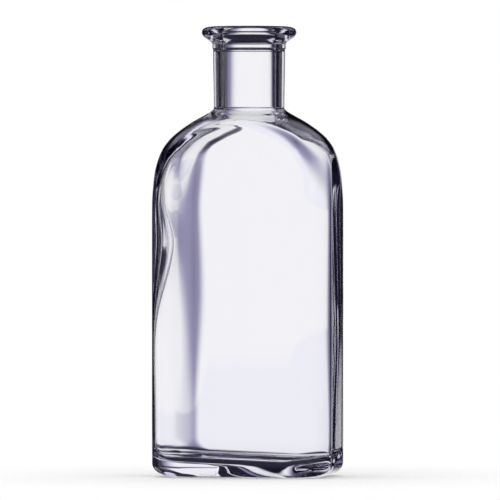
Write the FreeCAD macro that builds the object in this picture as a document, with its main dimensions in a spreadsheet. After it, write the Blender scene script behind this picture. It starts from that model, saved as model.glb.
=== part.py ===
import FreeCAD, Part
import math
import os

import Sketcher

# Antique glass bottle of the pharmacy kind: an oblong moulded body with a round neck, and the lip laid on
# round the end of the neck. The origin is in the middle of the base, +Z is up, X runs across the broad front.

# Driving dimensions in millimetres, each with what it measures.
SIZES = {
    "body_width": (61.5, "outside, across the broad front"),
    "body_depth": (41.5, "outside, front to back"),
    "side_height": (99.0, "base to where the sides start to turn in"),
    "shoulder_height": (29.8, "top of the sides to where the shoulder's slope ends inside the neck"),
    "neck_length": (19.0, "end of the shoulder's slope to the ledge that carries the lip"),
    "lip_height": (8.2, "ledge to the top of the lip"),
    "corner_radius": (8.6, "outside, at the four upright corners"),
    "heel_round": (4.6, "radius round the outside of the base"),
    "foot_band": (3.2, "flat band between the heel and the hollow under the base"),
    "push_up": (1.5, "height of the hollow under the base"),
    "push_up_run": (6.0, "width of the slope round that hollow"),
    "wall": (3.1, "sides and shoulder"),
    "base_thickness": (5.2, "glass under the cavity"),
    "inner_corner_radius": (6.0, "upright corners of the cavity"),
    "inner_floor_round": (3.2, "radius round the floor of the cavity"),
    "bore_diameter": (18.6, "the straight mouth and neck"),
    "neck_foot_wall": (2.8, "glass of the neck where it leaves the shoulder"),
    "neck_top_wall": (3.3, "glass of the neck under the lip"),
    "neck_foot_round": (1.6, "radius of the hollow round at the neck's foot"),
    "mouth_round": (1.4, "radius at the inner edge of the mouth"),
    "spigot_wall": (1.9, "glass of the neck inside the lip"),
    "lip_gap": (0.05, "clearance between spigot and lip"),
    "collar_step": (0.3, "how far the lip's collar stands out from the neck"),
    "collar_height": (2.6, "ledge to the foot of the lip's flare"),
    "lip_overhang": (3.55, "how far the lip's edge stands out from its collar"),
    "lip_edge": (2.9, "height of the lip's edge before it is rounded"),
    "lip_crown": (0.3, "fall of the lip's top towards its edge"),
    "lip_top_round": (1.55, "radius over the lip's edge"),
    "lip_under_round": (1.7, "radius under the lip's edge"),
    "flare_round": (0.8, "radius of the hollow round between collar and flare"),
}

# The shoulder goes from the oblong of the sides up to a small round crown inside the neck. Each station is a
# share of its height, with the shares of width and depth that are left there between the crown's and the
# sides', and how far its corners have gone from the sides' radius (0) to a full round (1).
STATIONS = (
    (0.24, 0.976, 0.985, 0.12),
    (0.48, 0.908, 0.950, 0.39),
    (0.69, 0.672, 0.861, 0.88),
    (0.83, 0.394, 0.620, 0.95),
    (1.00, 0.000, 0.000, 0.97),
)
# The inside of the shoulder lies lower than the outside by this share of the wall.
INNER_DROP = 0.55
# The most of the lip's edge that its upper and lower rounds may take.
TOP_ROUND_SHARE = 0.55
UNDER_ROUND_SHARE = 0.65
# Edges are found by radius and height within this distance.
NEAR = 0.05

doc = FreeCAD.newDocument("antique_glass_bottle")
sheet = doc.addObject("Spreadsheet::Sheet", "sizes")
for row, (alias, (value, meaning)) in enumerate(SIZES.items(), start=1):
    sheet.set(f"A{row}", meaning)
    sheet.set(f"B{row}", str(value))
    sheet.setAlias(f"B{row}", alias)
doc.recompute()

# Heights, radii and spans that follow from the driving dimensions, as expressions on the sheet.
SIDE_TOP = "sizes.side_height"
SHOULDER_TOP = f"{SIDE_TOP} + sizes.shoulder_height"
LIP_SEAT = f"{SHOULDER_TOP} + sizes.neck_length"
RIM = f"{LIP_SEAT} + sizes.lip_height"
OUTER_SPANS = ("sizes.body_width", "sizes.body_depth", "sizes.corner_radius")
INNER_SPANS = (
    "sizes.body_width - 2 * sizes.wall",
    "sizes.body_depth - 2 * sizes.wall",
    "sizes.inner_corner_radius",
)
CROWN_SPAN = "sizes.bore_diameter + sizes.neck_foot_wall"
INNER_CROWN_SPAN = "sizes.bore_diameter - sizes.wall"
INNER_RISE = f"sizes.shoulder_height - {INNER_DROP} * sizes.wall"
BORE = "sizes.bore_diameter / 2"
NECK_FOOT = f"{BORE} + sizes.neck_foot_wall"
NECK_TOP = f"{BORE} + sizes.neck_top_wall"
SPIGOT = f"{BORE} + sizes.spigot_wall"
PUSH_UP_RIM = "sizes.body_depth / 2 - sizes.heel_round - sizes.foot_band"
LIP_BORE = f"{SPIGOT} + sizes.lip_gap"
COLLAR = f"{NECK_TOP} + sizes.collar_step"
LIP_EDGE = f"{COLLAR} + sizes.lip_overhang"
FLARE_FOOT = f"{LIP_SEAT} + sizes.collar_height"
LIP_EDGE_TOP = f"{RIM} - sizes.lip_crown"
LIP_EDGE_FOOT = f"{LIP_EDGE_TOP} - sizes.lip_edge"


def value_of(expression):
    """The present value of an expression on the sheet's aliases."""
    return float(sheet.evalExpression(expression))


def new_body(label):
    """An empty body that becomes one piece of the bottle."""
    body = doc.addObject("PartDesign::Body", label)
    body.Label = label
    return body


def new_sketch(body, name, role, height=None):
    """A sketch on one of the body's origin planes, lifted to a height if one is given."""
    sketch = body.newObject("Sketcher::SketchObject", name)
    plane = next(feature for feature in body.Origin.OriginFeatures if feature.Role == role)
    sketch.AttachmentSupport = (plane, [""])
    sketch.MapMode = "FlatFace"
    if height is not None:
        sketch.setExpression("AttachmentOffset.Base.z", height)
    return sketch


def bind(sketch, name, constraint, expression):
    """Adds a named constraint whose value follows an expression."""
    index = sketch.addConstraint(constraint)
    sketch.renameConstraint(index, name)
    sketch.setExpression(f"Constraints.{name}", expression)


def oblong(body, name, height, width, depth, radius):
    """A rectangle with rounded corners about the bottle's axis; every size is an expression."""
    sketch = new_sketch(body, name, "XY_Plane", height)
    corner = value_of(radius)
    core_width = value_of(width) - 2 * corner
    core_depth = value_of(depth) - 2 * corner
    signs = ((1, -1), (1, 1), (-1, 1), (-1, -1))
    arcs = []
    for turn, (right, back) in enumerate(signs, start=-1):
        centre = FreeCAD.Vector(right * core_width / 2, back * core_depth / 2, 0)
        circle = Part.Circle(centre, FreeCAD.Vector(0, 0, 1), corner)
        arcs.append(Part.ArcOfCircle(circle, turn * math.pi / 2, (turn + 1) * math.pi / 2))
    for arc, following in zip(arcs, arcs[1:] + arcs[:1]):
        sketch.addGeometry(arc)
        sketch.addGeometry(Part.LineSegment(arc.EndPoint, following.StartPoint))
    for index in range(8):
        sketch.addConstraint(Sketcher.Constraint("Tangent", index, 2, (index + 1) % 8, 1))
    for line, way in ((1, "Vertical"), (3, "Horizontal"), (5, "Vertical"), (7, "Horizontal")):
        sketch.addConstraint(Sketcher.Constraint(way, line))
    for arc in (2, 4, 6):
        sketch.addConstraint(Sketcher.Constraint("Equal", 0, arc))
    sketch.addConstraint(Sketcher.Constraint("Symmetric", 0, 3, 4, 3, -1, 1))
    bind(sketch, "corner", Sketcher.Constraint("Radius", 0, corner), radius)
    across = Sketcher.Constraint("DistanceX", 6, 3, 0, 3, core_width)
    bind(sketch, "core_width", across, f"{width} - 2 * ({radius})")
    along = Sketcher.Constraint("DistanceY", 0, 3, 2, 3, core_depth)
    bind(sketch, "core_depth", along, f"{depth} - 2 * ({radius})")
    return sketch


def half_section(body, name, corners):
    """A closed outline beside the bottle's axis; a corner is (radius, height), None for the axis or the base."""
    sketch = new_sketch(body, name, "XZ_Plane")
    spots = []
    for corner in corners:
        x, y = (0 if size is None else value_of(size) for size in corner)
        spots.append(FreeCAD.Vector(x, y, 0))
    for spot, following in zip(spots, spots[1:] + spots[:1]):
        sketch.addGeometry(Part.LineSegment(spot, following))
    for index, (radius, height) in enumerate(corners):
        following = (index + 1) % len(corners)
        sketch.addConstraint(Sketcher.Constraint("Coincident", index, 2, following, 1))
        if radius is None:
            sketch.addConstraint(Sketcher.Constraint("PointOnObject", index, 1, -2))
        else:
            across = Sketcher.Constraint("DistanceX", -1, 1, index, 1, spots[index].x)
            bind(sketch, f"radius_{index}", across, radius)
        if height is None:
            sketch.addConstraint(Sketcher.Constraint("PointOnObject", index, 1, -1))
        else:
            along = Sketcher.Constraint("DistanceY", -1, 1, index, 1, spots[index].y)
            bind(sketch, f"height_{index}", along, height)
    return sketch


def turned(body, kind, name, corners):
    """A full turn of a half section about the bottle's axis, added or cut away."""
    sketch = half_section(body, f"{name}_outline", corners)
    feature = body.newObject(f"PartDesign::{kind}", name)
    feature.Profile = sketch
    feature.ReferenceAxis = (sketch, ["V_Axis"])
    feature.Angle = 360


def shoulder(body, kind, name, spans, crown, rise):
    """The shoulder, added or cut away: a smooth skin from the oblong of the sides up to the crown."""
    width, depth, radius = spans
    sections = [oblong(body, f"{name}_foot", SIDE_TOP, width, depth, radius)]
    for number, (up, wide, deep, full) in enumerate(STATIONS, start=1):
        height = f"{SIDE_TOP} + ({rise}) * {up}"
        across = f"({crown}) + (({width}) - ({crown})) * {wide}"
        along = f"({crown}) + (({depth}) - ({crown})) * {deep}"
        bend = f"({radius}) + (({along}) / 2 - ({radius})) * {full}"
        sections.append(oblong(body, f"{name}_station_{number}", height, across, along, bend))
    feature = body.newObject(f"PartDesign::{kind}", name)
    feature.Profile = sections[0]
    feature.Sections = sections[1:]


def rounded(body, name, radius, chosen):
    """A fillet on the edges of the body's present shape that a test picks out."""
    doc.recompute()
    base = body.Tip
    names = [f"Edge{number}" for number, edge in enumerate(base.Shape.Edges, start=1) if chosen(edge)]
    feature = body.newObject("PartDesign::Fillet", name)
    feature.Base = (base, names)
    feature.setExpression("Radius", radius)


def flat_at(height):
    """A test for the edges that lie level at one height."""
    level = value_of(height)
    return lambda edge: all(abs(spot.z - level) < NEAR for spot in edge.discretize(5))


def ring_at(radius, height):
    """A test for the edges that go round the bottle's axis at one radius and height."""
    reach = value_of(radius)
    level = flat_at(height)
    return lambda edge: level(edge) and all(
        abs(math.hypot(spot.x, spot.y) - reach) < NEAR for spot in edge.discretize(5)
    )


def seam_round(radius, low, high):
    """A test for the edges that go round a cylinder about the bottle's axis, anywhere between two heights."""
    reach = value_of(radius)
    lowest = value_of(low)
    highest = value_of(high)

    def chosen(edge):
        spots = edge.discretize(5)
        on_cylinder = all(abs(math.hypot(spot.x, spot.y) - reach) < NEAR for spot in spots)
        between = all(lowest < spot.z < highest for spot in spots)
        goes_round = math.hypot(spots[0].x - spots[2].x, spots[0].y - spots[2].y) > NEAR
        return on_cylinder and between and goes_round

    return chosen


# The moulded body: straight sides, shoulder and neck, all solid at first.
bottle = new_body("bottle_body")
sides = bottle.newObject("PartDesign::Pad", "sides")
sides.Profile = oblong(bottle, "sides_outline", "0", *OUTER_SPANS)
sides.setExpression("Length", SIDE_TOP)
shoulder(bottle, "AdditiveLoft", "shoulder", OUTER_SPANS, CROWN_SPAN, "sizes.shoulder_height")
neck_corners = [
    (None, SIDE_TOP),
    (NECK_FOOT, SIDE_TOP),
    (NECK_FOOT, SHOULDER_TOP),
    (NECK_TOP, LIP_SEAT),
    (SPIGOT, LIP_SEAT),
    (SPIGOT, RIM),
    (None, RIM),
]
turned(bottle, "Revolution", "neck", neck_corners)
rounded(bottle, "neck_foot", "sizes.neck_foot_round", seam_round(NECK_FOOT, SIDE_TOP, SHOULDER_TOP))
rounded(bottle, "heel", "sizes.heel_round", flat_at("0"))
doc.recompute()
solid_volume = bottle.Shape.Volume

# The hollow: the cavity between the sides, the inside of the shoulder, the bore and the push-up.
cavity = bottle.newObject("PartDesign::Pocket", "cavity")
cavity.Profile = oblong(bottle, "cavity_outline", "sizes.base_thickness", *INNER_SPANS)
cavity.Reversed = True
cavity.setExpression("Length", f"{SIDE_TOP} - sizes.base_thickness")
doc.recompute()
cavity_volume = solid_volume - bottle.Shape.Volume
shoulder(bottle, "SubtractiveLoft", "inner_shoulder", INNER_SPANS, INNER_CROWN_SPAN, INNER_RISE)
bore_corners = [(None, SIDE_TOP), (BORE, SIDE_TOP), (BORE, RIM), (None, RIM)]
turned(bottle, "Groove", "bore", bore_corners)
push_up_corners = [
    (None, None),
    (PUSH_UP_RIM, None),
    (f"{PUSH_UP_RIM} - sizes.push_up_run", "sizes.push_up"),
    (None, "sizes.push_up"),
]
turned(bottle, "Groove", "push_up", push_up_corners)
rounded(bottle, "floor_round", "sizes.inner_floor_round", flat_at("sizes.base_thickness"))
rounded(bottle, "mouth", "sizes.mouth_round", ring_at(BORE, RIM))

# The laid-on lip: a ring on the neck's ledge, round the spigot, with a low collar and a flared, rounded edge.
lip = new_body("applied_lip")
lip_corners = [
    (LIP_BORE, LIP_SEAT),
    (COLLAR, LIP_SEAT),
    (COLLAR, FLARE_FOOT),
    (LIP_EDGE, LIP_EDGE_FOOT),
    (LIP_EDGE, LIP_EDGE_TOP),
    (LIP_BORE, RIM),
]
turned(lip, "Revolution", "lip_ring", lip_corners)
under_round = f"min(sizes.lip_under_round; {UNDER_ROUND_SHARE} * sizes.lip_edge)"
rounded(lip, "lip_under", under_round, ring_at(LIP_EDGE, LIP_EDGE_FOOT))
top_round = f"min(sizes.lip_top_round; {TOP_ROUND_SHARE} * sizes.lip_edge)"
rounded(lip, "lip_top", top_round, ring_at(LIP_EDGE, LIP_EDGE_TOP))
rounded(lip, "flare", "sizes.flare_round", ring_at(COLLAR, FLARE_FOOT))

doc.recompute()
for item in doc.Objects:
    if {"Invalid", "Error"} & set(item.State):
        raise RuntimeError(f"{item.Label} failed: {item.State}")
if not 0 < bottle.Shape.Volume < solid_volume - cavity_volume:
    raise RuntimeError("the bottle isn't hollow up to its mouth")
for piece in (bottle, lip):
    if piece.Shape.isNull() or not piece.Shape.isValid() or len(piece.Shape.Solids) != 1:
        raise RuntimeError(f"{piece.Label} isn't one sound solid")

os.makedirs("parts", exist_ok=True)
for piece in (bottle, lip):
    piece.Shape.exportStep(f"parts/{piece.Label}.step")
    print(f"{piece.Label}: {piece.Shape.Volume / 1000:.1f} cm3")
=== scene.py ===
"""Antique glass bottle: one skin of clear, faintly violet glass on a pale floor in a plain soft studio.

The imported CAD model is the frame. It gives the bottle's width, depth and height and the lip's width. Its two
nodes, the moulded body and the laid-on lip, are shown as one skin, because real glass fuses where they meet.
Sizes are in metres and angles in degrees, unless a name or docstring says otherwise. The front faces -Y.
"""

import logging
import math
from dataclasses import dataclass
from enum import Enum

import bpy
import numpy as np
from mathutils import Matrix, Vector

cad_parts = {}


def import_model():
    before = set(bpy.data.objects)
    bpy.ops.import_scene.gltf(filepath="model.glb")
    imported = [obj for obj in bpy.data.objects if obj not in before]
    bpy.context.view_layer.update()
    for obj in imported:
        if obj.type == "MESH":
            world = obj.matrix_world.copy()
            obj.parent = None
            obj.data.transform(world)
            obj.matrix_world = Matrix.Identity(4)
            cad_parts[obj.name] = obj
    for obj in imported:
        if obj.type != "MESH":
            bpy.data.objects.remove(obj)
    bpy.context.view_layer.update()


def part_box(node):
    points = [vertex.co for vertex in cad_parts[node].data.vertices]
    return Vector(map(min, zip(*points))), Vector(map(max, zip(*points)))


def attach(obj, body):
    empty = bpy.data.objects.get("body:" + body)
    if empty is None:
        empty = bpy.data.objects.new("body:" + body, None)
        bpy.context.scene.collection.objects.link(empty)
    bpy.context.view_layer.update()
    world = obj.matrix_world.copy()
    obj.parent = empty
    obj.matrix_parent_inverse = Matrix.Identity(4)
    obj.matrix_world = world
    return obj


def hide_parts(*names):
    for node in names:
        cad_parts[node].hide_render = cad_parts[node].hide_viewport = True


LOG = logging.getLogger("antique_bottle")
MM = 0.001
X, Y, Z = 0, 1, 2
TINY = 1e-9

# The innermost ring of the base and of the floor, as a share of the way out.
INNERMOST = 0.03

Colour = tuple[float, float, float]

# One size, or an array of one for each row.
Sizes = float | np.ndarray


class Corner(Enum):
    """The body's four upright corners, by the signs of x and y there."""

    FRONT_RIGHT = (1, -1)
    BACK_RIGHT = (1, 1)
    BACK_LEFT = (-1, 1)
    FRONT_LEFT = (-1, -1)


class RayKind(Enum):
    """Light Path outputs that tell rays apart."""

    CAMERA = "Is Camera Ray"
    GLOSSY = "Is Glossy Ray"
    TRANSMISSION = "Is Transmission Ray"


def smooth_curve(at: np.ndarray, knots: tuple[float, ...], values: tuple[float, ...]) -> np.ndarray:
    """Reads a curve through given points: cubic Hermite pieces that never overshoot their points.

    The slope at a point is the harmonic mean of the slopes beside it, or zero where the curve turns or ends.

    Args:
        at: where to read the curve.
        knots: rising places of the points.
        values: the curve's values at the points.

    Returns:
        The curve's values, shaped as at, held constant beyond the ends.
    """
    place, value = np.asarray(knots, float), np.asarray(values, float)
    step = np.diff(place)
    slope = np.diff(value) / step
    before, after = slope[:-1], slope[1:]
    same_way = before * after > 0
    total = np.where(same_way, before + after, 1.0)
    tangent = np.concatenate([[0.0], np.where(same_way, 2 * before * after / total, 0.0), [0.0]])
    i = np.clip(np.searchsorted(place, at) - 1, 0, len(step) - 1)
    t = np.clip((at - place[i]) / step[i], 0, 1)
    ends = value[i] * (1 - t) ** 2 * (1 + 2 * t) + value[i + 1] * t * t * (3 - 2 * t)
    return ends + step[i] * t * (1 - t) * (tangent[i] * (1 - t) - tangent[i + 1] * t)


def fading(height: np.ndarray, full_to: float, none_from: float) -> np.ndarray:
    """A share that is 1 up to one height and 0 from another up, with a smooth way between."""
    return smooth_curve(height, (full_to, none_from), (1.0, 0.0))


def soft_least(a: np.ndarray, b: np.ndarray, sharpness: float) -> np.ndarray:
    """The lesser of a and b, rounded where they change over: an unscaled power mean, exponent -sharpness."""
    return (a ** -sharpness + b ** -sharpness) ** (-1 / sharpness)


def spaced(stops: tuple[float, ...], counts: tuple[int, ...]) -> np.ndarray:
    """Heights for rows of points, evenly spaced from each stop to the next.

    Args:
        stops: both ends, and the heights between them where the spacing changes.
        counts: number of heights in each stretch, with both its ends.

    Returns:
        The heights, one to a row, without the first stop.
    """
    stretches = [np.linspace(start, end, count)[1:] for start, end, count in zip(stops, stops[1:], counts)]
    return np.concatenate(stretches)[:, None]


@dataclass(frozen=True)
class HeightCurve:
    """A size that changes with height: given sizes at a few heights, in millimetres, joined smoothly."""

    heights: tuple[float, ...]
    sizes: tuple[float, ...]

    def at(self, height: np.ndarray) -> np.ndarray:
        """The size at each height, both in metres."""
        return MM * smooth_curve(height / MM, self.heights, self.sizes)


@dataclass(frozen=True)
class Oblong:
    """A rounded rectangle round the bottle's axis, or one for each row where a size is an array.

    A round is at most the most_round share of the distance to the nearer of its two walls.
    """

    right: Sizes
    back: Sizes
    left: Sizes
    front: Sizes
    rounds: dict[Corner, Sizes]
    most_round: float = 0.98

    def radius(self, angle: np.ndarray) -> np.ndarray:
        """Distance from the axis to the outline along each angle.

        A ray meets the flat wall across x, the flat wall across y, or the arc of the corner between them.
        With C the arc's centre, r its radius and u the ray's direction, it meets the arc at
        C.u + sqrt((C.u)^2 - |C|^2 + r^2).

        Args:
            angle: angles about the axis, from +X towards +Y, in radians.

        Returns:
            The distances, one column for each angle.
        """
        to_right, to_back = np.cos(angle) >= 0, np.sin(angle) >= 0
        c, s = np.maximum(np.abs(np.cos(angle)), TINY), np.maximum(np.abs(np.sin(angle)), TINY)
        reach_x = np.where(to_right, self.right, self.left)
        reach_y = np.where(to_back, self.back, self.front)
        back_round = np.where(to_right, self.rounds[Corner.BACK_RIGHT], self.rounds[Corner.BACK_LEFT])
        front_round = np.where(to_right, self.rounds[Corner.FRONT_RIGHT], self.rounds[Corner.FRONT_LEFT])
        most = self.most_round * np.minimum(reach_x, reach_y)
        r = np.minimum(np.where(to_back, back_round, front_round), most)
        centre_x, centre_y = reach_x - r, reach_y - r
        along = centre_x * c + centre_y * s
        arc = along + np.sqrt(np.maximum(along ** 2 - centre_x ** 2 - centre_y ** 2 + r ** 2, 0))
        wall_x, wall_y = reach_x / c, reach_y / s
        return np.where(wall_x * s <= centre_y, wall_x, np.where(wall_y * c <= centre_x, wall_y, arc))


@dataclass(frozen=True)
class Columns:
    """The upright columns of the skin's grid, closer together where the body's corners turn."""

    count: int = 344
    corner_angle: float = 34.0
    crowding: float = 2.0
    spread: float = 11.0
    fine_count: int = 7201

    @property
    def angles(self) -> np.ndarray:
        """Angles about the axis, from +X towards +Y, in radians.

        Their density is 1 plus a bell of the crowding's height round each corner, and the angles are equal
        shares of the density's running total.
        """
        fine = np.linspace(0, 360, self.fine_count)
        from_side = np.abs((fine + 90) % 180 - 90)
        density = 1 + self.crowding * np.exp(-0.5 * ((from_side - self.corner_angle) / self.spread) ** 2)
        total = np.concatenate([[0], np.cumsum((density[1:] + density[:-1]) / 2)])
        shares = np.linspace(0, total[-1], self.count, endpoint=False)
        return np.radians(np.interp(shares, total, fine))


def ring_points(angles: np.ndarray, radius: np.ndarray, height: np.ndarray) -> np.ndarray:
    """Points at (radius cos angle, radius sin angle, height), by row and column.

    Args:
        angles: the columns' angles.
        radius: radii, by row and, where they differ round the axis, by column.
        height: heights, likewise.

    Returns:
        The points, by row, column and coordinate.
    """
    x, y, z = np.broadcast_arrays(radius * np.cos(angles), radius * np.sin(angles), height)
    return np.stack([x, y, z], axis=-1)


def moved(points: np.ndarray, axis: int, by: np.ndarray) -> np.ndarray:
    """Adds a distance along one axis to every point.

    Args:
        points: points by row, column and coordinate.
        axis: the coordinate that changes.
        by: the distances, by row and, where they differ in a row, by column.

    Returns:
        The moved points.
    """
    result = points.copy()
    result[..., axis] += by
    return result


def bowed(points: np.ndarray, right: Sizes, left: Sizes, half_width: Sizes, half_depth: float) -> np.ndarray:
    """Moves the narrow sides out at their middles.

    A point at (x, y) moves outwards by its side's bow times the cube of x / half_width times
    1 - (y / half_depth)^2, at least 0.

    Args:
        points: points by row, column and coordinate.
        right: the right side's bow.
        left: the left side's bow.
        half_width: half the outline's width.
        half_depth: half the outline's depth.

    Returns:
        The moved points.
    """
    across, along = points[..., X] / half_width, points[..., Y] / half_depth
    out = np.where(across > 0, right, left) * across ** 3 * np.clip(1 - along ** 2, 0, 1)
    return moved(points, X, out)


def skewed(points: np.ndarray, right: Sizes, left: Sizes, half_width: Sizes, half_depth: float) -> np.ndarray:
    """Turns the narrow sides a little about the upright: one edge comes in and the other goes out.

    A point at (x, y) moves along x by its side's skew times the cube of |x| / half_width, at most 1, times
    y / half_depth.

    Args:
        points: points by row, column and coordinate.
        right: the right side's skew.
        left: the left side's skew.
        half_width: half the outline's width.
        half_depth: half the outline's depth.

    Returns:
        The moved points.
    """
    across, along = points[..., X] / half_width, points[..., Y] / half_depth
    skew = np.where(across > 0, right, left)
    return moved(points, X, skew * np.clip(np.abs(across), 0, 1) ** 3 * along)


@dataclass(frozen=True)
class MouldedOutside:
    """The outside: an oblong of four walls, cut off by a dome of revolution that runs up into neck and lip.

    Its narrow sides swell past the frame, and its neck stands a little to the right of the body's middle.
    """

    width: float
    depth: float
    height: float
    lip_radius: float
    front_right_round: float = 10.0 * MM
    back_right_round: float = 10.0 * MM
    back_left_round: float = 8.0 * MM
    front_left_round: float = 11.0 * MM
    round_loss: float = 0.6
    swell: float = 0.7 * MM
    side_bow: HeightCurve = HeightCurve((5.0, 20.0, 86.0, 113.0), (0.0, 0.1, 0.1, 0.0))
    heel_run: float = 7.0 * MM
    heel_rise: float = 4.8 * MM
    push_up: float = 1.5 * MM
    push_up_share: float = 0.86
    shoulder_foot: float = 86.0 * MM
    shoulder_turn: float = 113.0 * MM
    neck_foot: float = 129.5 * MM
    neck_top: float = 147.2 * MM
    shoulder_sharpness: float = 24.0
    neck_shift: HeightCurve = HeightCurve((95.0, 127.0), (0.0, 0.55))
    dome: HeightCurve = HeightCurve(
        (87.0, 99.0, 106.0, 113.0, 117.0, 120.0, 123.0, 125.5, 126.6, 127.7, 147.0),
        (45.0, 36.0, 33.5, 30.3, 27.3, 23.9, 19.5, 15.0, 13.2, 12.25, 12.5))
    underside_rows: int = 14
    heel_rows: int = 13
    wall_rows: tuple[int, ...] = (22, 24, 34, 12)
    lip_rows: int = 55

    @property
    def half_width(self) -> float:
        """From the axis to a narrow side: half the frame's width and the swell, without the bow."""
        return self.width / 2 + self.swell

    @property
    def half_depth(self) -> float:
        """From the axis to the front or the back."""
        return self.depth / 2

    def outline(self, angles: np.ndarray, inset: np.ndarray) -> np.ndarray:
        """Radius of the oblong, set in.

        Args:
            angles: the columns' angles.
            inset: how far in, by row. The corners' rounds lose the round_loss share of it.

        Returns:
            Radii, by row and column.
        """
        loss = self.round_loss * inset
        rounds = {
            Corner.FRONT_RIGHT: self.front_right_round - loss,
            Corner.BACK_RIGHT: self.back_right_round - loss,
            Corner.BACK_LEFT: self.back_left_round - loss,
            Corner.FRONT_LEFT: self.front_left_round - loss,
        }
        along = self.half_depth - inset
        across = self.half_width - inset
        return Oblong(across, along, across, along, rounds).radius(angles)

    def underside(self, angles: np.ndarray) -> np.ndarray:
        """The base from its middle outwards: a shallow push-up, then a flat.

        The push-up's height is a parabola of the share of the way out.

        Args:
            angles: the columns' angles.

        Returns:
            Points, by row, column and coordinate.
        """
        share = np.linspace(INNERMOST, 1.0, self.underside_rows)[:, None]
        rise = self.push_up * np.maximum(0, 1 - (share / self.push_up_share) ** 2)
        return ring_points(angles, share * self.outline(angles, np.full_like(share, self.heel_run)), rise)

    def heel(self, angles: np.ndarray) -> np.ndarray:
        """A quarter of an ellipse from the flat of the base to the walls.

        Args:
            angles: the columns' angles.

        Returns:
            Points, by row, column and coordinate.
        """
        turn = np.linspace(0, np.pi / 2, self.heel_rows)[1:, None]
        radius = self.outline(angles, self.heel_run * (1 - np.sin(turn)))
        return ring_points(angles, radius, self.heel_rise * (1 - np.cos(turn)))

    def walls_and_neck(self, angles: np.ndarray) -> np.ndarray:
        """The outside from the heel to the top of the neck: the lesser of the oblong and the dome, bowed.

        Args:
            angles: the columns' angles.

        Returns:
            Points, by row, column and coordinate.
        """
        stops = (self.heel_rise, self.shoulder_foot, self.shoulder_turn, self.neck_foot, self.neck_top)
        rows = spaced(stops, self.wall_rows)
        walls = self.outline(angles, np.zeros_like(rows))
        radius = soft_least(walls, self.dome.at(rows), self.shoulder_sharpness)
        bow = self.side_bow.at(rows)
        return bowed(ring_points(angles, radius, rows), bow, bow, self.half_width, self.half_depth)

    def lip(self, angles: np.ndarray, bore_radius: float) -> np.ndarray:
        """The collar, the flare, the rim and the mouth's round, as a smooth line through listed points.

        Each point is a radius and a drop from the top, in millimetres.

        Args:
            angles: the columns' angles.
            bore_radius: radius of the bore under the mouth.

        Returns:
            Points, by row, column and coordinate.
        """
        edge, bore = self.lip_radius / MM, bore_radius / MM
        collar = ((12.52, 8.3), (12.66, 7.9), (12.76, 7.4), (12.72, 6.7), (12.72, 6.2))
        flare = ((12.95, 5.75), (13.6, 5.15), (14.66, 4.45), (edge - 0.75, 3.65), (edge - 0.2, 2.9))
        rim = ((edge, 2.1), (edge - 0.2, 1.3), (edge - 0.85, 0.65), (14.6, 0.25), (13.2, 0.02))
        mouth = ((12.0, 0.0), (10.9, 0.2), (9.9, 1.0), (bore, 2.4))
        line = MM * np.array(collar + flare + rim + mouth)
        places = tuple(range(len(line)))
        steps = np.linspace(0, places[-1], self.lip_rows)[:, None]
        radius = smooth_curve(steps, places, tuple(line[:, 0]))
        drop = smooth_curve(steps, places, tuple(line[:, 1]))
        return ring_points(angles, radius, self.height - drop)

    def leaned(self, points: np.ndarray) -> np.ndarray:
        """Moves the shoulder, the neck and the lip to the right by the neck's shift."""
        return moved(points, X, self.neck_shift.at(points[..., Z]))


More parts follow.
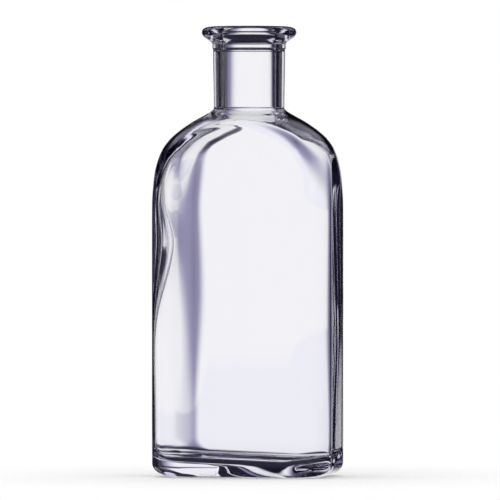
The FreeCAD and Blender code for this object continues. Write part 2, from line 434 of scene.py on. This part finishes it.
@dataclass(frozen=True)
class BlownHollow:
    """The inside: a bore, and a cavity set in from the outside by uneven walls, as in a blown bottle."""

    outside: MouldedOutside
    bore_radius: float = 9.45 * MM
    shift: HeightCurve = HeightCurve((90.0, 115.0, 128.0), (0.0, 1.6, 0.0))
    right_wall: HeightCurve = HeightCurve((15.0, 50.0, 100.0), (3.0, 1.8, 2.5))
    left_wall: HeightCurve = HeightCurve((15.0, 50.0, 100.0), (2.0, 1.4, 3.2))
    front_wall: float = 4.5 * MM
    back_wall: float = 3.0 * MM
    front_right_round: float = 11.0 * MM
    back_right_round: HeightCurve = HeightCurve((50.0, 80.0), (6.0, 2.5))
    back_left_round: HeightCurve = HeightCurve((15.0, 60.0, 100.0), (9.5, 13.5, 10.0))
    front_left_round: HeightCurve = HeightCurve((40.0, 80.0, 100.0), (3.5, 7.5, 4.0))
    round_gain: float = 0.5
    right_bow: float = -0.3 * MM
    left_bow: HeightCurve = HeightCurve((40.0, 80.0, 100.0), (-0.5, -1.8, 0.0))
    right_skew: HeightCurve = HeightCurve((15.0, 100.0), (-0.2, -1.2))
    left_skew: float = 0.4 * MM
    sides_full_to: float = 99.0 * MM
    sides_none_from: float = 113.0 * MM
    floor_thickness: float = 5.2 * MM
    floor_round: float = 5.5 * MM
    floor_crown: float = 1.0 * MM
    floor_edge: float = 0.94
    floor_tilt_right: float = -0.04
    floor_tilt_back: float = 0.085
    tilt_full_to: float = 12.0 * MM
    tilt_none_from: float = 40.0 * MM
    mouth_drop: float = 3.4 * MM
    bore_foot: float = 128.0 * MM
    crown_foot: float = 110.0 * MM
    crown_drop: float = 1.9 * MM
    crown_wall: HeightCurve = HeightCurve((118.0, 127.0, 147.0), (1.8, 2.8, 3.05))
    crown_sharpness: float = 28.0
    wall_rows: tuple[int, ...] = (12, 36, 44)
    round_rows: int = 16
    floor_rows: int = 13

    @property
    def walls_foot(self) -> float:
        """Height at which the walls meet the floor's round, before the floor leans."""
        return self.floor_thickness + self.floor_round

    def outline(self, angles: np.ndarray, height: np.ndarray, inset: Sizes = 0.0) -> np.ndarray:
        """Radius of the cavity's oblong at each height: the outside set in by each wall's own thickness.

        Args:
            angles: the columns' angles.
            height: heights, by row.
            inset: how much further in, by row. The corners' rounds gain the round_gain share of it.

        Returns:
            Radii, by row and column.
        """
        gain = self.round_gain * inset
        rounds = {
            Corner.FRONT_RIGHT: self.front_right_round + gain,
            Corner.BACK_RIGHT: self.back_right_round.at(height) + gain,
            Corner.BACK_LEFT: self.back_left_round.at(height) + gain,
            Corner.FRONT_LEFT: self.front_left_round.at(height) + gain,
        }
        half_width, half_depth = self.outside.half_width - inset, self.outside.half_depth - inset
        oblong = Oblong(half_width - self.right_wall.at(height), half_depth - self.back_wall,
                        half_width - self.left_wall.at(height), half_depth - self.front_wall, rounds)
        return oblong.radius(angles)

    def bore_and_walls(self, angles: np.ndarray) -> np.ndarray:
        """The bore and the cavity's walls from the mouth down: the lesser of the crown and the oblong.

        The crown is the outside's dome and neck, lowered and set in, and its neck is the bore.

        Args:
            angles: the columns' angles.

        Returns:
            Points, by row, column and coordinate.
        """
        stops = (self.outside.height - self.mouth_drop, self.bore_foot, self.crown_foot, self.walls_foot)
        rows = spaced(stops, self.wall_rows)
        crown = self.outside.dome.at(rows + self.crown_drop) - self.crown_wall.at(rows)
        radius = soft_least(self.outline(angles, rows), crown, self.crown_sharpness)
        return moved(self.uneven(ring_points(angles, radius, rows), rows), X, self.shift.at(rows))

    def uneven(self, points: np.ndarray, rows: np.ndarray) -> np.ndarray:
        """Moves the cavity's narrow sides by their bows and skews, which fade out up the shoulder.

        Args:
            points: points by row, column and coordinate.
            rows: the rows' heights.

        Returns:
            The moved points.
        """
        fade = fading(rows, self.sides_full_to, self.sides_none_from)
        half_width = self.outside.half_width - self.right_wall.at(rows)
        half_depth = self.outside.half_depth - self.front_wall
        points = bowed(points, fade * self.right_bow, fade * self.left_bow.at(rows), half_width, half_depth)
        right_skew = fade * self.right_skew.at(rows)
        return skewed(points, right_skew, fade * self.left_skew, half_width, half_depth)

    def floor(self, angles: np.ndarray) -> np.ndarray:
        """The cavity's floor: a quarter round in from the walls, then a low crown, a parabola, to the middle.

        Args:
            angles: the columns' angles.

        Returns:
            Points, by row, column and coordinate.
        """
        turn = np.linspace(0, np.pi / 2, self.round_rows)[1:, None]
        foot = np.full_like(turn, self.walls_foot)
        radius = self.outline(angles, foot, self.floor_round * (1 - np.cos(turn)))
        round_rows = self.uneven(ring_points(angles, radius, foot - self.floor_round * np.sin(turn)), foot)
        share = np.linspace(self.floor_edge, INNERMOST, self.floor_rows)[:, None]
        crown_rows = round_rows[-1:] * share[..., None]
        crown_rows[..., Z] = self.floor_thickness + self.floor_crown * (1 - share ** 2)
        return np.vstack([round_rows, crown_rows])

    def tilted(self, points: np.ndarray) -> np.ndarray:
        """Leans the floor: heights near it change with x and y, fading out up the walls.

        Args:
            points: the cavity's points, by row, column and coordinate.

        Returns:
            The moved points.
        """
        fade = fading(points[..., Z], self.tilt_full_to, self.tilt_none_from)
        lean = self.floor_tilt_right * points[..., X] + self.floor_tilt_back * points[..., Y]
        return moved(points, Z, fade * lean)


@dataclass(frozen=True)
class VioletGlass:
    """Old clear glass: faintly violet through its thickness, with soft mould ripples."""

    name: str = "violet_glass"
    ior: float = 1.5
    tint: Colour = (0.78, 0.74, 0.92)
    density: float = 9.0
    pale: Colour = (0.998, 0.998, 1.0)
    clear: Colour = (1.0, 1.0, 1.0)
    least_roughness: float = 0.0
    most_roughness: float = 0.02
    ripple_scale: float = 55.0
    ripple_detail: float = 1.0
    ripple_stretch: tuple[float, float, float] = (1.0, 1.0, 0.4)
    ripple_height: float = 0.05 * MM

    def material(self) -> bpy.types.Material:
        """Builds the node material: slow noise, drawn out up the bottle, tints, dulls and ripples it.

        Returns:
            The material, with its absorption as a volume.
        """
        mat = bpy.data.materials.new(self.name)
        mat.use_nodes = True
        tree = mat.node_tree
        shader = tree.nodes["Principled BSDF"]
        shader.inputs["IOR"].default_value = self.ior
        shader.inputs["Transmission Weight"].default_value = 1.0

        place = tree.nodes.new("ShaderNodeTexCoord")
        stretch = tree.nodes.new("ShaderNodeMapping")
        stretch.inputs["Scale"].default_value = self.ripple_stretch
        tree.links.new(place.outputs["Object"], stretch.inputs["Vector"])
        ripple = noise(tree, stretch.outputs["Vector"], self.ripple_scale, self.ripple_detail)
        tone = mix_colour(tree, ripple, self.pale, self.clear)
        tree.links.new(tone, shader.inputs["Base Color"])
        gloss = map_range(tree, ripple, (0.0, 1.0), (self.least_roughness, self.most_roughness), "LINEAR")
        tree.links.new(gloss, shader.inputs["Roughness"])
        tree.links.new(bump(tree, ripple, self.ripple_height), shader.inputs["Normal"])

        depth = tree.nodes.new("ShaderNodeVolumeAbsorption")
        depth.inputs["Color"].default_value = (*self.tint, 1)
        depth.inputs["Density"].default_value = self.density
        tree.links.new(depth.outputs["Volume"], tree.nodes["Material Output"].inputs["Volume"])
        return mat


@dataclass(frozen=True)
class PalePaper:
    """Matt white paper that keeps a soft shadow near the bottle and runs out into the white surround."""

    name: str = "pale_paper"
    colour: Colour = (0.99, 0.99, 0.99)
    fibre_colour: Colour = (0.97, 0.97, 0.975)
    fibre_scale: float = 900.0
    fibre_detail: float = 2.0
    fibre_height: float = 0.02 * MM
    shadow_reach: float = 0.07
    white_from: float = 0.15

    def material(self) -> bpy.types.Material:
        """Builds the node material: matt paper, and further out the plain white of the surround.

        Returns:
            The material. Only the camera sees the white part, so it lights nothing.
        """
        mat = bpy.data.materials.new(self.name)
        mat.use_nodes = True
        tree = mat.node_tree
        tree.nodes.remove(tree.nodes["Principled BSDF"])
        place = tree.nodes.new("ShaderNodeTexCoord")
        fibres = noise(tree, place.outputs["Object"], self.fibre_scale, self.fibre_detail)
        matt = tree.nodes.new("ShaderNodeBsdfDiffuse")
        tree.links.new(mix_colour(tree, fibres, self.colour, self.fibre_colour), matt.inputs["Color"])
        tree.links.new(bump(tree, fibres, self.fibre_height), matt.inputs["Normal"])

        away = tree.nodes.new("ShaderNodeVectorMath")
        away.operation = "LENGTH"
        tree.links.new(place.outputs["Object"], away.inputs[0])
        fade = map_range(tree, away.outputs["Value"], (self.shadow_reach, self.white_from), (0.0, 1.0))
        share = math_node(tree, "MULTIPLY", fade, seen_by(tree, RayKind.CAMERA))
        white = tree.nodes.new("ShaderNodeEmission")
        both = tree.nodes.new("ShaderNodeMixShader")
        tree.links.new(share, both.inputs["Fac"])
        tree.links.new(matt.outputs["BSDF"], both.inputs[1])
        tree.links.new(white.outputs["Emission"], both.inputs[2])
        tree.links.new(both.outputs["Shader"], tree.nodes["Material Output"].inputs["Surface"])
        return mat


@dataclass(frozen=True)
class GlassBottle:
    """The bottle as one closed skin: underside, heel, walls, shoulder, neck, lip, bore, cavity and floor."""

    outside: MouldedOutside
    hollow: BlownHollow
    glass: VioletGlass = VioletGlass()
    columns: Columns = Columns()

    def build(self) -> bpy.types.Object:
        """Builds the skin, dresses it and puts it in the scene.

        Returns:
            The bottle's object, at the origin, with its place in its mesh.
        """
        angles = self.columns.angles
        cavity = np.vstack([self.hollow.bore_and_walls(angles), self.hollow.floor(angles)])
        skin = np.vstack([
            self.outside.underside(angles),
            self.outside.heel(angles),
            self.outside.walls_and_neck(angles),
            self.outside.lip(angles, self.hollow.bore_radius),
            self.hollow.tilted(cavity),
        ])
        bottle = bpy.data.objects.new("glass_bottle", ring_mesh("glass_bottle", self.outside.leaned(skin)))
        bpy.context.scene.collection.objects.link(bottle)
        bottle.data.materials.append(self.glass.material())
        return bottle


def ring_mesh(name: str, rings: np.ndarray, last_fan: bool = True) -> bpy.types.Mesh:
    """Makes a smooth mesh from rings round the axis: quads from each ring to the next, and fans at the ends.

    A fan is a triangle from each edge of a ring to the mean of the ring's points.

    Args:
        name: the mesh's name.
        rings: the rings' points, by row, column and coordinate.
        last_fan: whether the last ring has a fan, as the first one has.

    Returns:
        The mesh. Its normals are the way round a ring crossed with the way to the next ring.
    """
    rows, columns = rings.shape[:2]
    here = np.arange(columns)
    following = np.roll(here, -1)
    start = np.arange(rows - 1)[:, None] * columns
    above = start + columns
    quads = np.stack([start + here, start + following, above + following, above + here], axis=-1)
    count = rows * columns
    first = np.stack([np.full(columns, count), following, here], axis=-1)
    poles = [rings[0].mean(axis=0)]
    faces = quads.reshape(-1, 4).tolist() + first.tolist()
    if last_fan:
        inside = count - columns
        last = np.stack([np.full(columns, count + 1), inside + here, inside + following], axis=-1)
        poles.append(rings[-1].mean(axis=0))
        faces += last.tolist()
    mesh = bpy.data.meshes.new(name)
    mesh.from_pydata(np.vstack([rings.reshape(-1, 3), poles]).tolist(), [], faces)
    mesh.polygons.foreach_set("use_smooth", np.ones(len(mesh.polygons), bool))
    mesh.update()
    return mesh


@dataclass(frozen=True)
class Card:
    """A soft-edged card in the studio's surround, by direction from the bottle.

    Azimuth runs from +Y, behind the bottle, towards +X, and half_width is half the card's angle there.
    Low and high are elevations. Softness is half the width of the fade at the upright edges, and
    level_softness at the level ones.
    """

    azimuth: float
    half_width: float
    low: float
    high: float
    softness: float
    level_softness: float
    colour: Colour

    def mask(self, tree: bpy.types.NodeTree, x: bpy.types.NodeSocket, y: bpy.types.NodeSocket,
             up: bpy.types.NodeSocket) -> bpy.types.NodeSocket:
        """Adds nodes that give 1 in the card's directions and 0 in others.

        Args:
            tree: the node tree to add to.
            x: the direction's part along +X.
            y: the direction's part along +Y.
            up: the direction's elevation, in radians.

        Returns:
            The socket with that value: the product of a band across the card and one up it.
        """
        turn = math.radians(self.azimuth)
        aside = math_node(tree, "SUBTRACT", math_node(tree, "MULTIPLY", x, math.cos(turn)),
                          math_node(tree, "MULTIPLY", y, math.sin(turn)))
        ahead = math_node(tree, "ADD", math_node(tree, "MULTIPLY", x, math.sin(turn)),
                          math_node(tree, "MULTIPLY", y, math.cos(turn)))
        across = math_node(tree, "ARCTAN2", aside, ahead)
        across_band = soft_band(tree, across, -self.half_width, self.half_width, self.softness)
        up_band = soft_band(tree, up, self.low, self.high, self.level_softness)
        return math_node(tree, "MULTIPLY", across_band, up_band)


@dataclass(frozen=True)
class Studio:
    """A pale floor, a lamp, the camera, and a surround: white to the camera, dark with cards in the glass."""

    target: float = 78.5 * MM
    azimuth: float = 12.0
    elevation: float = 0.6
    distance: float = 2.75
    frame_height: float = 173.3 * MM
    sensor_width: float = 36.0
    shift_x: float = 0.0048
    clip_end: float = 50.0
    floor_radius: float = 0.16
    floor_start: float = 0.02
    floor_rings: int = 24
    floor_columns: int = 96
    lamp_energy: float = 0.6
    lamp_size: float = 0.9
    lamp_place: tuple[float, float, float] = (-0.3, -0.2, 1.1)
    glass_bounces: int = 24
    glossy_bounces: int = 12
    dark: Colour = (0.009, 0.008, 0.02)
    white: Colour = (1.0, 1.0, 1.0)
    paper: PalePaper = PalePaper()
    cards: tuple[Card, ...] = (
        # A broad violet-grey front.
        Card(168, 80, -30, 30, 25, 25, (0.37, 0.355, 0.5)),
        # White for views from the right, from the front right and above, and from the back left.
        Card(-90, 4, -30, 5, 2, 2, (1.0, 1.0, 1.0)),
        Card(-45, 10, -36, -16, 4, 4, (1.0, 1.0, 1.0)),
        Card(135, 10, -26, -7, 4, 4, (1.0, 1.0, 1.0)),
        # Two pale cards high up at left and right.
        Card(-42, 12, 22, 52, 5, 5, (0.84, 0.82, 1.0)),
        Card(18, 12, 22, 52, 5, 5, (0.84, 0.82, 1.0)),
        # The panel behind the bottle: violet edges, a faintly lavender middle, and white higher up.
        Card(-11, 16.5, -30, 5, 5, 5, (0.29, 0.275, 0.43)),
        Card(-8.5, 10.5, -30, 6, 4.5, 4.5, (0.945, 0.945, 1.0)),
        Card(-8.5, 10.5, -1.4, 6, 4.5, 0.12, (0.998, 1.0, 1.0)),
    )

    def build(self) -> None:
        """Sets up the floor, the surround, the lamp, the camera, how far light is followed and the view."""
        self.build_floor()
        self.build_surround()
        self.build_lamp()
        self.build_camera()
        scene = bpy.context.scene
        scene.view_settings.view_transform = "Standard"
        scene.cycles.max_bounces = self.glass_bounces
        scene.cycles.transmission_bounces = self.glass_bounces
        scene.cycles.glossy_bounces = self.glossy_bounces

    def build_floor(self) -> None:
        """A flat disc of paper, as rings that widen outwards, which gloss and glass don't show."""
        angles = np.linspace(0, -2 * np.pi, self.floor_columns, endpoint=False)
        radii = np.geomspace(self.floor_start, self.floor_radius, self.floor_rings)[:, None]
        mesh = ring_mesh("floor", ring_points(angles, radii, np.zeros_like(radii)), last_fan=False)
        mesh.materials.append(self.paper.material())
        floor = bpy.data.objects.new("floor", mesh)
        place_unmirrored(floor)

    def build_surround(self) -> None:
        """White for the camera, the cards for gloss and glass, and an even white as the floor's light."""
        world = bpy.data.worlds.new("studio_surround")
        bpy.context.scene.world = world
        world.use_nodes = True
        tree = world.node_tree
        place = tree.nodes.new("ShaderNodeTexCoord")
        axes = tree.nodes.new("ShaderNodeSeparateXYZ")
        tree.links.new(place.outputs["Generated"], axes.inputs["Vector"])
        up = math_node(tree, "ARCSINE", axes.outputs["Z"])
        base = tree.nodes.new("ShaderNodeRGB")
        base.outputs["Color"].default_value = (*self.dark, 1)
        shown = base.outputs["Color"]
        for card in self.cards:
            mask = card.mask(tree, axes.outputs["X"], axes.outputs["Y"], up)
            shown = mix_colour(tree, mask, shown, card.colour)
        in_glass = seen_by(tree, RayKind.GLOSSY, RayKind.TRANSMISSION)
        floor_hits = tree.nodes.new("ShaderNodeLightPath").outputs["Diffuse Depth"]
        shows_cards = math_node(tree, "MULTIPLY", in_glass, math_node(tree, "LESS_THAN", floor_hits, 1))
        shown = mix_colour(tree, shows_cards, self.white, shown)
        tree.links.new(shown, tree.nodes["Background"].inputs["Color"])

    def build_lamp(self) -> None:
        """One broad soft lamp above and in front, for the floor's shadow. Gloss and glass don't show it."""
        lamp = bpy.data.lights.new("overhead", "AREA")
        lamp.energy = self.lamp_energy
        lamp.size = self.lamp_size
        holder = bpy.data.objects.new("overhead", lamp)
        holder.location = self.lamp_place
        holder.rotation_euler = Vector(holder.location).to_track_quat("Z", "Y").to_euler()
        place_unmirrored(holder)

    def build_camera(self) -> None:
        """A long lens at the photograph's angle, turned to the bottle's right and a little above level."""
        camera = bpy.data.cameras.new("camera")
        camera.sensor_width = self.sensor_width
        camera.lens = self.sensor_width * self.distance / self.frame_height
        camera.shift_x = self.shift_x
        camera.clip_end = self.clip_end
        holder = bpy.data.objects.new("camera", camera)
        turn, tilt = math.radians(self.azimuth), math.radians(self.elevation)
        back = Vector((math.sin(turn) * math.cos(tilt), -math.cos(turn) * math.cos(tilt), math.sin(tilt)))
        holder.location = Vector((0, 0, self.target)) + back * self.distance
        holder.rotation_euler = back.to_track_quat("Z", "Y").to_euler()
        bpy.context.scene.collection.objects.link(holder)
        bpy.context.scene.camera = holder


def place_unmirrored(thing: bpy.types.Object) -> None:
    """Puts an object in the scene so that neither gloss nor glass shows it."""
    thing.visible_glossy = False
    thing.visible_transmission = False
    bpy.context.scene.collection.objects.link(thing)


def seen_by(tree: bpy.types.NodeTree, *kinds: RayKind) -> bpy.types.NodeSocket:
    """Adds nodes that give 1 for rays of these kinds and 0 for others: the Light Path outputs' greatest.

    Args:
        tree: the node tree to add to.
        kinds: the kinds of ray.

    Returns:
        The socket with that value.
    """
    path = tree.nodes.new("ShaderNodeLightPath")
    value = path.outputs[kinds[0].value]
    for kind in kinds[1:]:
        value = math_node(tree, "MAXIMUM", value, path.outputs[kind.value])
    return value


def math_node(tree: bpy.types.NodeTree, operation: str,
              *values: float | bpy.types.NodeSocket) -> bpy.types.NodeSocket:
    """Adds a Math node.

    Args:
        tree: the node tree to add to.
        operation: Blender's name for the operation.
        values: numbers or sockets, one for each input.

    Returns:
        The node's output.
    """
    node = tree.nodes.new("ShaderNodeMath")
    node.operation = operation
    for value, socket in zip(values, node.inputs):
        if isinstance(value, bpy.types.NodeSocket):
            tree.links.new(value, socket)
        else:
            socket.default_value = value
    return node.outputs["Value"]


def noise(tree: bpy.types.NodeTree, place: bpy.types.NodeSocket, scale: float,
          detail: float) -> bpy.types.NodeSocket:
    """Adds a Noise Texture node.

    Args:
        tree: the node tree to add to.
        place: where the noise is read.
        scale: how fine the noise is.
        detail: number of finer layers.

    Returns:
        The noise, from 0 to 1.
    """
    node = tree.nodes.new("ShaderNodeTexNoise")
    node.inputs["Scale"].default_value = scale
    node.inputs["Detail"].default_value = detail
    tree.links.new(place, node.inputs["Vector"])
    return node.outputs["Fac"]


def bump(tree: bpy.types.NodeTree, height: bpy.types.NodeSocket, distance: float) -> bpy.types.NodeSocket:
    """Adds a Bump node.

    Args:
        tree: the node tree to add to.
        height: the relief, from 0 to 1.
        distance: the relief's full height.

    Returns:
        The bent normal.
    """
    node = tree.nodes.new("ShaderNodeBump")
    node.inputs["Distance"].default_value = distance
    tree.links.new(height, node.inputs["Height"])
    return node.outputs["Normal"]


def map_range(tree: bpy.types.NodeTree, value: bpy.types.NodeSocket, ends: tuple[float, float],
              results: tuple[float, float], way: str = "SMOOTHSTEP") -> bpy.types.NodeSocket:
    """Adds a Map Range node.

    Args:
        tree: the node tree to add to.
        value: the value to map.
        ends: the two ends of the value's range.
        results: what the two ends become.
        way: Blender's name for the way from one result to the other.

    Returns:
        The mapped value, held constant beyond the ends.
    """
    node = tree.nodes.new("ShaderNodeMapRange")
    node.interpolation_type = way
    for name, number in zip(("From Min", "From Max", "To Min", "To Max"), (*ends, *results)):
        node.inputs[name].default_value = number
    tree.links.new(value, node.inputs["Value"])
    return node.outputs["Result"]


def soft_band(tree: bpy.types.NodeTree, angle: bpy.types.NodeSocket, low: float, high: float,
              softness: float) -> bpy.types.NodeSocket:
    """Adds nodes that give 1 between two angles and 0 outside them, with smooth steps at both ends.

    Args:
        tree: the node tree to add to.
        angle: the angle to test, in radians.
        low: the lower end, in degrees.
        high: the upper end, in degrees.
        softness: half the width of each step, in degrees.

    Returns:
        The socket with that value: the product of a rising and a falling step.
    """
    low_ends = (math.radians(low - softness), math.radians(low + softness))
    high_ends = (math.radians(high - softness), math.radians(high + softness))
    rising = map_range(tree, angle, low_ends, (0.0, 1.0))
    falling = map_range(tree, angle, high_ends, (1.0, 0.0))
    return math_node(tree, "MULTIPLY", rising, falling)


def mix_colour(tree: bpy.types.NodeTree, share: bpy.types.NodeSocket, first: Colour | bpy.types.NodeSocket,
               second: Colour | bpy.types.NodeSocket) -> bpy.types.NodeSocket:
    """Adds a colour Mix node.

    Args:
        tree: the node tree to add to.
        share: the second colour's share.
        first: a colour or a socket.
        second: a colour or a socket.

    Returns:
        The mixed colour.
    """
    node = tree.nodes.new("ShaderNodeMix")
    node.data_type = "RGBA"
    tree.links.new(share, node.inputs["Factor"])
    for colour, socket in ((first, node.inputs["A"]), (second, node.inputs["B"])):
        if isinstance(colour, bpy.types.NodeSocket):
            tree.links.new(colour, socket)
        else:
            socket.default_value = (*colour, 1)
    return node.outputs["Result"]


def main() -> None:
    """Builds the bottle around the frame, then the studio."""
    logging.basicConfig(level=logging.INFO, format="%(message)s")
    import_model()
    body_low, body_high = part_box("bottle_body")
    lip_low, lip_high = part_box("applied_lip")
    outside = MouldedOutside(
        width=body_high.x - body_low.x,
        depth=body_high.y - body_low.y,
        height=lip_high.z,
        lip_radius=(lip_high.x - lip_low.x) / 2,
    )
    bottle = GlassBottle(outside, BlownHollow(outside)).build()
    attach(bottle, "root")
    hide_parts("bottle_body", "applied_lip")
    LOG.info("%s: %d faces", bottle.name, len(bottle.data.polygons))
    studio = Studio()
    studio.build()
    LOG.info("studio: %d cards", len(studio.cards))


if __name__ == "__main__":
    main()
